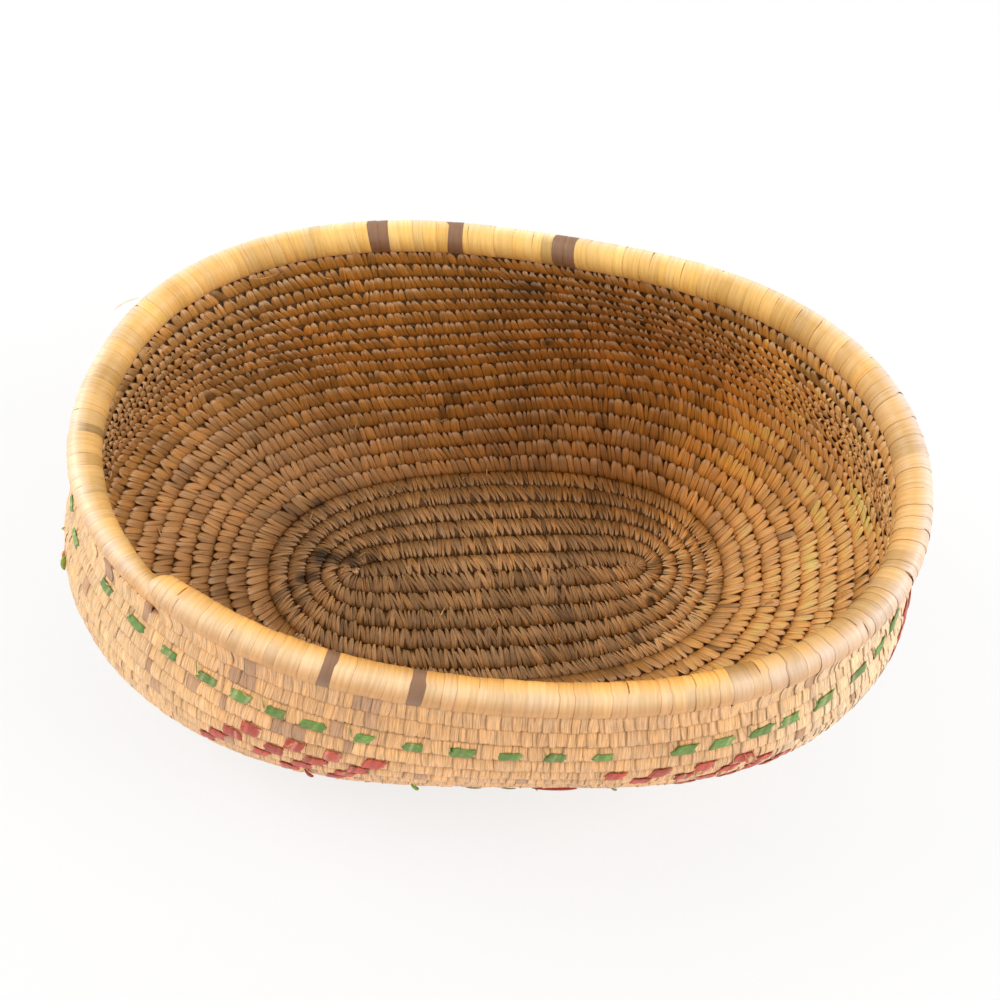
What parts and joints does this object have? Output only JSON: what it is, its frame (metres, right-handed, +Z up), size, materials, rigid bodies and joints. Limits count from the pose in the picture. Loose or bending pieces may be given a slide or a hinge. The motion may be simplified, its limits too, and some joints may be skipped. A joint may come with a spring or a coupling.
{
  "type": "coiled basket",
  "caption": "Oval hand-coiled basket with a flat spiral floor, swelling stitched walls and a thick smooth-wrapped rim; open at the top, for holding small things.",
  "frame": {"origin": "centre of the footprint of the whole basket, at the height of the table it stands on", "axes": "+Z up out of the mouth; +X along the long way of the oval rim, towards the end away from where the rim coil stops; +Y across the oval"},
  "size_m": [0.3338, 0.2211, 0.1499],
  "materials": {
    "core_palm": "grey-brown dried grass bunch closely wrapped in split leaf, worn and matt",
    "floor_palm": "grey-brown dried grass bunch closely wrapped in split leaf, worn and matt",
    "wall_palm": "straw-tan split-leaf stitches over a grass bunch, warm brown inside, with some dyed green and brick-red stitches, half matt",
    "rim_palm": "pale straw broad leaf strips wound edge to edge, smooth with a soft sheen"
  },
  "bodies": {
    "root": {"start_core": "core_palm", "floor_coil_1": "floor_palm", "floor_coil_2": "floor_palm", "floor_coil_3": "floor_palm", "wall_coil_01": "wall_palm", "wall_coil_02": "wall_palm", "wall_coil_03": "wall_palm", "wall_coil_04": "wall_palm", "wall_coil_05": "wall_palm", "wall_coil_06": "wall_palm", "wall_coil_07": "wall_palm", "wall_coil_08": "wall_palm", "wall_coil_09": "wall_palm", "wall_coil_10": "wall_palm", "wall_coil_11": "wall_palm", "wall_coil_12": "wall_palm", "wall_coil_13": "wall_palm", "wall_coil_14": "wall_palm", "wall_coil_15": "wall_palm", "wall_coil_16": "wall_palm", "wall_coil_17": "wall_palm", "wall_coil_18": "wall_palm", "wall_coil_19": "wall_palm", "rim_coil": "rim_palm"}
  },
  "joints": []
}
